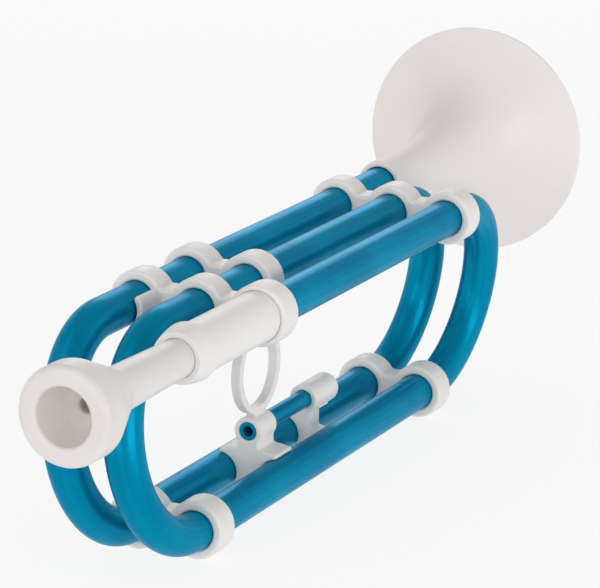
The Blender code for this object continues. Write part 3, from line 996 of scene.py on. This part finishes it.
@dataclass
class MouthEnd:
    """The mouthpiece, and the tuning sleeve with its collar."""

    sides: int = 144
    rim_radius: float = 15.0 * MM
    rim_length: float = 9.3 * MM
    rim_rounding: float = 2.4 * MM
    rim_rear_rounding: float = 3.5 * MM
    cup_radius: float = 8.8 * MM
    cup_edge: float = 1.3 * MM
    cup_depth: float = 12.5 * MM
    cup_steps: int = 24
    throat_radius: float = 2.4 * MM
    throat_ease: float = 3.0 * MM
    throat_length: float = 8.0 * MM
    throat_rounding: float = 1.6 * MM
    body_length: float = 19.6 * MM
    body_rounding: float = 5.0 * MM
    shank_top: float = 7.0 * MM
    shank_tip: float = 5.65 * MM
    tip_wall: float = 1.15 * MM
    tip_rounding: float = 0.3 * MM
    seam: float = 0.12 * MM
    collar_taper: float = 1.4 * MM
    collar_power: float = 1.5
    collar_steps: int = 20
    collar_lip: float = 5.0 * MM
    collar_front_rounding: float = 0.4 * MM
    collar_rear_rounding: float = 0.22 * MM
    sleeve_rounding: float = 0.3 * MM
    receiver_depth: float = 21.4 * MM
    shoulder: float = 0.5 * MM
    seat_gap: float = 0.3 * MM

    SOFT_STEP = math.radians(6)

    def __post_init__(self) -> None:
        """Read the mouthpiece's run from the frame."""
        self.run = Run.of("mouthpiece")

    def turned(self, node: str, outline: Sequence[Point]) -> Piece:
        """Turn a node's outline of (radius, station) round the mouthpiece's axis."""
        return Bench.turn(node + "_moulding", outline, self.run.at(0.0), self.sides)

    def shank(self, station: float) -> float:
        """Radius of the shank's taper.

        Args:
            station: Where it is wanted.

        Returns:
            The radius there.
        """
        top = self.run.front + self.rim_length + self.body_length
        share = (station - top) / (self.run.rear - top)
        return self.shank_top + (self.shank_tip - self.shank_top) * share

    def cup(self) -> list[Corner]:
        """Draw the cup, from the throat to the foot of its rounded edge.

        Returns:
            Corners of (radius, station).
        """
        top = self.run.front + self.cup_edge
        end = math.acos((self.throat_radius + self.throat_ease) / self.cup_radius)
        corners = [Corner(self.throat_radius, top + self.cup_depth + self.throat_length),
                   Corner(self.throat_radius, top + self.cup_depth, self.throat_rounding)]
        for k in range(self.cup_steps, 0, -1):
            turn = end * k / self.cup_steps
            corners.append(Corner(self.cup_radius * math.cos(turn),
                                  top + self.cup_depth * math.sin(turn)))
        return corners

    def mouthpiece(self) -> Piece:
        """Make the mouthpiece: rounded rim, deep cup, conical body and tapered shank.

        Returns:
            The mouthpiece.
        """
        front, tip = self.run.front, self.run.rear
        rim_rear = front + self.rim_length
        outline = rounded([Corner(self.cup_radius, front, self.cup_edge),
                           Corner(self.rim_radius, front, self.rim_rounding),
                           Corner(self.rim_radius, rim_rear, self.rim_rear_rounding),
                           Corner(self.shank_top, rim_rear + self.body_length,
                                  self.body_rounding),
                           Corner(self.shank_tip, tip, self.tip_rounding),
                           Corner(self.shank_tip - self.tip_wall, tip, self.tip_rounding),
                           *self.cup()], self.SOFT_STEP)
        return self.turned("mouthpiece", outline)

    def sleeve(self) -> Piece:
        """Make the tuning sleeve, stepped inside from the receiver to the lead tube.

        Returns:
            The sleeve.
        """
        run, ease = Run.of("tuning_sleeve"), self.sleeve_rounding
        bore = Run.of("lead_tube").radius + self.seat_gap
        end = Run.of("receiver_collar").front + self.receiver_depth
        outline = rounded([Corner(run.radius, run.front), Corner(run.radius, run.rear, ease),
                           Corner(bore, run.rear, ease), Corner(bore, end + self.shoulder),
                           Corner(self.shank(end) + self.seam, end),
                           Corner(self.shank(run.front) + self.seam, run.front)])
        return self.turned("tuning_sleeve", outline)

    def collar(self) -> Piece:
        """Make the collar round the sleeve's front end.

        Returns:
            The collar.
        """
        run = Run.of("receiver_collar")
        bore, step = Run.of("tuning_sleeve").radius + self.seam, run.front + self.collar_lip
        crown = []
        for k in range(1, self.collar_steps):
            share = k / self.collar_steps
            crown.append(Corner(run.radius - self.collar_taper * share ** self.collar_power,
                                run.rear + (run.front - run.rear) * share))
        outline = rounded([Corner(bore, step), Corner(bore, run.rear, self.seam),
                           Corner(run.radius, run.rear, self.collar_rear_rounding), *crown,
                           Corner(run.radius - self.collar_taper, run.front,
                                  self.collar_front_rounding),
                           Corner(self.shank(run.front) + self.seam, run.front, self.seam),
                           Corner(self.shank(step) + self.seam, step)])
        return self.turned("receiver_collar", outline)

    def build(self) -> None:
        """Build the three pieces."""
        hand_over(self.mouthpiece(), "mouthpiece", Body.MOUTHPIECE, MOUTH_WHITE)
        hand_over(self.sleeve(), "tuning_sleeve", Body.TUNING_SLIDE, WHITE)
        hand_over(self.collar(), "receiver_collar", Body.TUNING_SLIDE, WHITE)


@dataclass
class Bell:
    """The bell: a slim stem that opens quickly to a wide rim."""

    sides: int = 192
    steps: int = 56
    stem_radius: float = 8.4 * MM
    stem_rounding: float = 0.9 * MM
    socket_rounding: float = 0.45 * MM
    throat_radius: float = 5.3 * MM
    rim_width: float = 2.6 * MM
    rim_rounding: float = 0.35 * MM
    rim_clear: float = 1.5 * MM
    edge: float = 1.2 * MM
    socket_depth: float = 11.0 * MM
    seat_gap: float = 0.3 * MM
    swell: float = 15.1 * MM
    swell_power: float = 2.5
    power: float = 10.0

    def flare(self, share: float, small: float, large: float) -> float:
        """Radius of the flare, from small at share zero, the stem, to large at one, the rim."""
        return (small + self.swell * share ** self.swell_power
                + (large - small - self.swell) * share ** self.power)

    def build(self) -> None:
        """Build the bell."""
        low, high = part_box("bell")
        tube = Run.of("bell_tube")
        large, length = 0.5 * (high.z - low.z), high.y - low.y
        socket = tube.radius + self.seat_gap
        turns = [math.sin(QUARTER * k / self.steps) for k in range(1, self.steps)]
        turns = [turn for turn in turns if (1 - turn) * length > self.rim_clear]
        outer = [Corner(self.flare(turn, self.stem_radius, large),
                        low.y + turn * (length - self.edge)) for turn in turns]
        start, inner_rim = low.y + self.socket_depth, large - self.rim_width
        inner = []
        for turn in turns:
            station = start + turn * (high.y - start)
            inner.append(Corner(self.flare((station - low.y) / length, self.throat_radius,
                                           inner_rim), station))
        outline = rounded([Corner(socket, low.y, self.socket_rounding),
                           Corner(self.stem_radius, low.y, self.stem_rounding), *outer,
                           Corner(large, high.y - self.edge, self.rim_rounding),
                           Corner(large, high.y, self.rim_rounding),
                           Corner(inner_rim, high.y, self.rim_rounding), *reversed(inner),
                           Corner(self.throat_radius, start), Corner(socket, start)])
        hand_over(Bench.turn("bell_moulding", outline, tube.at(0.0), self.sides), "bell",
                  Body.COIL, BELL_WHITE)


@dataclass(frozen=True)
class Saddle:
    """One half of a saddle, as seen along the tubes.

    Attributes:
        reach: Angle from the middle, round the tube, to the wing's tip.
        thickness: Thickness of the wing's tip.
        neck: Half width of the neck.
        foot: Height where the wing meets the neck.
        foot_fillet: Rounding of that inside corner.
        head: Height where the neck meets the barrel, or zero for no fillet there.
        head_fillet: Rounding of that inside corner.
    """

    reach: float
    thickness: float
    neck: float
    foot: float
    foot_fillet: float
    head: float = 0.0
    head_fillet: float = 0.0


@dataclass
class Brackets:
    """The two saddles on the bottom row, their barrels and the finger ring."""

    saddle_gap: float = 0.15 * MM
    visible_gap: float = 0.06 * MM
    length: float = 12.0 * MM
    web_angle: float = math.radians(-35)
    foot_rounding: float = 0.6 * MM
    web_rounding: float = 0.4 * MM
    segments: int = 4
    barrel_radius: float = 4.8 * MM
    barrel_sides: int = 96
    barrel_rounding: float = 0.25 * MM
    bore_lip: float = 0.5 * MM
    rear_length: float = 7.0 * MM
    rear_overhang: float = 5.0 * MM
    rear_end: float = 3.0 * MM
    rear_radius: float = 5.0 * MM
    rear_rounding: float = 1.4 * MM
    ring_inner: float = 12.2 * MM
    ring_thickness: float = 2.7 * MM
    ring_width: float = 3.5 * MM
    ring_rounding: float = 0.35 * MM
    ring_sides: int = 128
    ring_rise: float = 0.15 * MM
    foot_length: float = 6.6 * MM
    foot_spread: float = 1.0 * MM
    foot_sink: float = 1.0 * MM
    foot_reach: float = 1.0 * MM
    foot_inset: float = 0.1 * MM
    foot_fillet: float = 0.7 * MM
    grain: float = 0.24 * MM
    blend_rounds: int = 6
    blend_share: float = 0.5

    WING = Saddle(math.radians(82), 1.6 * MM, 3.8 * MM, 8.9 * MM, 0.8 * MM)
    LIP = Saddle(math.radians(20), 0.6 * MM, 0.6 * MM, 3.0 * MM, 0.8 * MM, 9.8 * MM, 1.8 * MM)
    INTO_BARREL = 1.0 * MM
    HEAD_SPREAD = 2.0

    def __post_init__(self) -> None:
        """Read the bottom row and the grip tube from the frame."""
        self.near, self.far = Run.of("low_near_tube"), Run.of("low_far_tube")
        self.grip = Run.of("grip_tube")
        self.middle = 0.5 * (self.near.x + self.far.x)

    def half(self, saddle: Saddle) -> list[Corner]:
        """Draw the right half of a saddle, from its foot up its neck.

        Args:
            saddle: The half's own measures.

        Returns:
            Corners of (across, up) from the bottom row's middle.
        """
        side = 0.5 * (self.near.x - self.far.x)
        inner = self.near.radius + self.saddle_gap
        cap, soft = 0.5 * saddle.thickness, self.foot_rounding
        foot = inner * math.sin(math.pi - self.web_angle) + soft
        inset = math.sqrt((inner + soft) ** 2 - foot ** 2)
        swing = math.atan2(-foot, inset)
        end = math.pi - saddle.reach
        points = arc((side - inset, foot), soft, -QUARTER, swing, Bench.SMALL_ARC_STEP)
        points += arc((side, 0.0), inner, math.pi + swing, end)[1:]
        middle = (side + (inner + cap) * math.cos(end), (inner + cap) * math.sin(end))
        points += arc(middle, cap, end - math.pi, end, Bench.SMALL_ARC_STEP)[1:]
        corners = [Corner(across, up) for across, up in points]
        corners.append(Corner(saddle.neck, saddle.foot, saddle.foot_fillet))
        if saddle.head:
            spread = saddle.neck + self.HEAD_SPREAD * saddle.head_fillet
            corners += [Corner(saddle.neck, saddle.head, saddle.head_fillet),
                        Corner(spread, saddle.head + self.INTO_BARREL)]
        corners.append(Corner(saddle.neck, self.grip.z - self.near.z))
        return corners

    def saddle(self, node: str, front: float, length: float, near: Saddle, far: Saddle) -> Piece:
        """Make one saddle without its barrel.

        Args:
            node: The node that it stands for.
            front: Station of the saddle's front face.
            length: Distance to its rear face.
            near: Its half on the near tube.
            far: Its half on the far tube.

        Returns:
            The saddle.
        """
        mirrored = [Corner(-corner.a, corner.b, corner.rounding)
                    for corner in reversed(self.half(far))]
        points = [Vector((self.middle + a, front, self.near.z + b))
                  for a, b in rounded(self.half(near) + mirrored)]
        return Bench.slab(node + "_moulding", points, ALONG * length, self.web_rounding,
                          self.segments)

    def barrel(self, front: float, rear: float, radius: float, end: float) -> Piece:
        """Make a solid barrel along the grip tube's axis.

        Args:
            front: Station of its front face.
            rear: Station of its rear face.
            radius: Its radius.
            end: Rounding of its rear edge.

        Returns:
            The barrel, to be joined to its saddle.
        """
        outline = rounded([Corner(0.0, front), Corner(radius, front, self.barrel_rounding),
                           Corner(radius, rear, end), Corner(0.0, rear)])
        return Bench.turn("barrel", outline, self.grip.at(0.0), self.barrel_sides)

    def ring(self, station: float) -> Piece:
        """Make the finger ring, a flat band that stands on the front barrel.

        Args:
            station: Station of the ring's centre.

        Returns:
            The ring, to be joined to its bracket.
        """
        inner, outer = self.ring_inner, self.ring_inner + self.ring_thickness
        height = self.grip.z + self.barrel_radius + self.ring_rise + outer
        half, soft = 0.5 * self.ring_width, self.ring_rounding
        outline = rounded([Corner(inner, -half, soft), Corner(inner, half, soft),
                           Corner(outer, half, soft), Corner(outer, -half, soft)])
        return Bench.turn("ring", outline, Vector((self.middle, station, height)),
                          self.ring_sides, ACROSS)

    def ring_foot(self, station: float) -> Piece:
        """Make the block that joins the ring to the barrel, spread at its base.

        Args:
            station: Station of the ring's centre.

        Returns:
            The block, to be joined to the ring's bracket.
        """
        half, base = 0.5 * self.foot_length, 0.5 * self.foot_length + self.foot_spread
        outline = rounded([Corner(-base, -self.foot_sink), Corner(base, -self.foot_sink),
                           Corner(base, 0.0), Corner(half, 0.0, self.foot_fillet),
                           Corner(half, self.foot_reach), Corner(-half, self.foot_reach),
                           Corner(-half, 0.0, self.foot_fillet), Corner(-base, 0.0)])
        top = self.grip.z + self.barrel_radius
        width = self.ring_width - 2 * self.foot_inset
        return Bench.slab("ring_foot", [Vector((self.middle - 0.5 * width, station + a, top + b))
                                        for a, b in outline], ACROSS * width)

    def finish(self, piece: Piece, solids: Sequence[Piece], front: float, depth: float,
               blind: bool) -> Piece:
        """Melt solids into one moulding with soft inside corners and bore its barrel.

        Args:
            piece: The saddle.
            solids: What is joined to it.
            front: Station of the barrel's open end.
            depth: Depth of its bore.
            blind: Whether the bore ends in the barrel.

        Returns:
            The bracket.
        """
        for solid in solids:
            Bench.combine(piece, solid, Join.UNION)
        Bench.apply(piece, "REMESH", mode="VOXEL", voxel_size=self.grain, adaptivity=0.0)
        Bench.apply(piece, "SMOOTH", factor=self.blend_share, iterations=self.blend_rounds)
        Bench.bore(piece, self.grip.at(front), self.grip.radius + self.visible_gap, depth,
                   self.bore_lip, self.barrel_sides, blind)
        return piece

    def front(self) -> Piece:
        """Make the front bracket with the finger ring and the open barrel.

        Returns:
            The bracket.
        """
        front, rear = self.grip.front, self.grip.front + self.length
        station = 0.5 * (front + rear)
        piece = self.saddle("finger_ring_bracket", front, self.length, self.WING, self.WING)
        solids = (self.barrel(front, rear, self.barrel_radius, self.barrel_rounding),
                  self.ring(station), self.ring_foot(station))
        return self.finish(piece, solids, front, self.length, blind=False)

    def rear(self) -> Piece:
        """Make the rear bracket with its closed barrel.

        Returns:
            The bracket.
        """
        low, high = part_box("rear_bracket")
        piece = self.saddle("rear_bracket", low.y + self.rear_overhang, self.rear_length,
                            self.LIP, self.WING)
        barrel = self.barrel(low.y, high.y, self.rear_radius, self.rear_rounding)
        return self.finish(piece, [barrel], low.y, high.y - low.y - self.rear_end, blind=True)

    def build(self) -> None:
        """Build both brackets."""
        for node, piece in (("finger_ring_bracket", self.front()), ("rear_bracket", self.rear())):
            hand_over(piece, node, Body.COIL, WHITE)


@dataclass(frozen=True)
class Lamp:
    """A soft square lamp that points at the trumpet's middle, with its angles in degrees."""

    name: str
    azimuth: float
    elevation: float
    distance: float
    size: float
    power: float


@dataclass
class Studio:
    """Pale floor, even light and the camera at the photograph's angle."""

    floor_size: float = 12.0
    floor_drop: float = 0.1 * MM
    floor_colour: Colour = (0.90, 0.90, 0.90, 1.0)
    backdrop: Colour = (0.93, 0.93, 0.93, 1.0)
    ambient_colour: Colour = (1.0, 1.0, 1.0, 1.0)
    shadow_share: float = 0.12
    glow: float = 1.055
    floor_fill: float = 0.62
    ambient: float = 1.05
    overhead: float = 0.33
    camera_azimuth: float = math.radians(25.63)
    camera_elevation: float = math.radians(14.87)
    camera_roll: float = math.radians(0.6)
    camera_place: tuple[float, float, float] = (0.46164, -0.93505, 0.33613)
    lens: float = 192.77
    sensor: float = 36.0
    aim: tuple[float, float, float] = (0.0, 0.0, 0.06)
    lamps: tuple[Lamp, ...] = (
        Lamp("key_lamp", 70, 5, 2.0, 1.5, 14.5), Lamp("front_lamp", -5, 8, 3.2, 2.4, 25.0),
        Lamp("rim_lamp", -156, 20, 1.8, 0.7, 2.8), Lamp("sky_lamp", -40, 60, 1.8, 1.3, 3.0))

    @staticmethod
    def seen(sketch: Sketch) -> Socket:
        """Mask of the rays that show the backdrop's own colour.

        Args:
            sketch: The tree that needs the mask.

        Returns:
            One for camera, glossy and transmission rays, and zero for the rest.
        """
        rays = sketch.add("LightPath").outputs
        direct = sketch.maths("MAXIMUM", rays["Is Camera Ray"], rays["Is Glossy Ray"])
        return sketch.maths("MAXIMUM", direct, rays["Is Transmission Ray"])

    def world(self) -> None:
        """Light the scene mostly from low down and show the pale backdrop."""
        world = bpy.data.worlds.new("studio")
        bpy.context.scene.world = world
        sketch = Sketch.blank(world)
        way = sketch.add("TexCoord").outputs["Generated"]
        height = sketch.add("SeparateXYZ", Vector=way).outputs["Z"]
        level = sketch.spread(height, 0.0, 1.0, 1.0, self.overhead)
        light = sketch.add("Background", Color=self.ambient_colour,
                           Strength=sketch.maths("MULTIPLY", level, self.ambient))
        shown = sketch.add("Background", Color=self.backdrop, Strength=level)
        sketch.add("OutputWorld", Surface=sketch.mix(self.seen(sketch), light.outputs[0],
                                                     shown.outputs[0]))

    def floor(self) -> None:
        """Lay the pale floor, which keeps a faint shadow."""
        Bench.deselect()
        bpy.ops.mesh.primitive_plane_add(size=self.floor_size, location=(0, 0, -self.floor_drop))
        floor = bpy.context.active_object
        floor.name = "floor"
        material = bpy.data.materials.new("pale_floor")
        sketch = Sketch.blank(material)
        matt = sketch.add("BsdfDiffuse", Color=self.floor_colour)
        glow = sketch.add("Emission", Color=self.backdrop, Strength=self.glow)
        share = sketch.maths("ADD", self.floor_fill,
                             sketch.maths("MULTIPLY", self.seen(sketch),
                                          1.0 - self.shadow_share - self.floor_fill))
        sketch.add("OutputMaterial", Surface=sketch.mix(share, matt.outputs[0], glow.outputs[0]))
        floor.data.materials.append(material)
        floor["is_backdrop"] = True

    def lights(self) -> None:
        """Hang the soft lamps."""
        for lamp in self.lamps:
            azimuth, elevation = math.radians(lamp.azimuth), math.radians(lamp.elevation)
            way = Vector((math.sin(azimuth) * math.cos(elevation),
                          -math.cos(azimuth) * math.cos(elevation), math.sin(elevation)))
            bpy.ops.object.light_add(type="AREA", location=Vector(self.aim) + way * lamp.distance,
                                     rotation=way.to_track_quat("Z", "Y").to_euler())
            light = bpy.context.active_object
            light.name = lamp.name
            light.data.shape = "SQUARE"
            light.data.size = lamp.size
            light.data.energy = lamp.power

    def camera(self) -> None:
        """Stand the camera where the photograph was taken from."""
        turn = (Matrix.Rotation(self.camera_azimuth, 4, "Z")
                @ Matrix.Rotation(QUARTER - self.camera_elevation, 4, "X")
                @ Matrix.Rotation(self.camera_roll, 4, "Z"))
        bpy.ops.object.camera_add(location=self.camera_place, rotation=turn.to_euler())
        camera = bpy.context.active_object
        camera.name = "photo_camera"
        camera.data.lens = self.lens
        camera.data.sensor_width = self.sensor
        camera.data.clip_end = self.floor_size
        bpy.context.scene.camera = camera

    def build(self) -> None:
        """Set up the whole studio."""
        bpy.context.scene.view_settings.view_transform = "Standard"
        self.world()
        self.floor()
        self.lights()
        self.camera()


def corners(bounds: Sequence[Vector]) -> list[list[float]]:
    """Write a box's two corners as plain lists of numbers."""
    return [[float(value) for value in corner] for corner in bounds]


def main() -> None:
    """Build the studio and every piece, and work out how large the whole is before and after."""
    logging.basicConfig(level=logging.INFO, format="%(name)s: %(message)s")
    solid = corners(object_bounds())
    Studio().build()
    for assembly in (Tubing(), Clips(), MouthEnd(), Bell(), Brackets()):
        assembly.build()
    {"frame": solid, "visual": corners(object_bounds())}


if __name__ == "__main__":
    main()
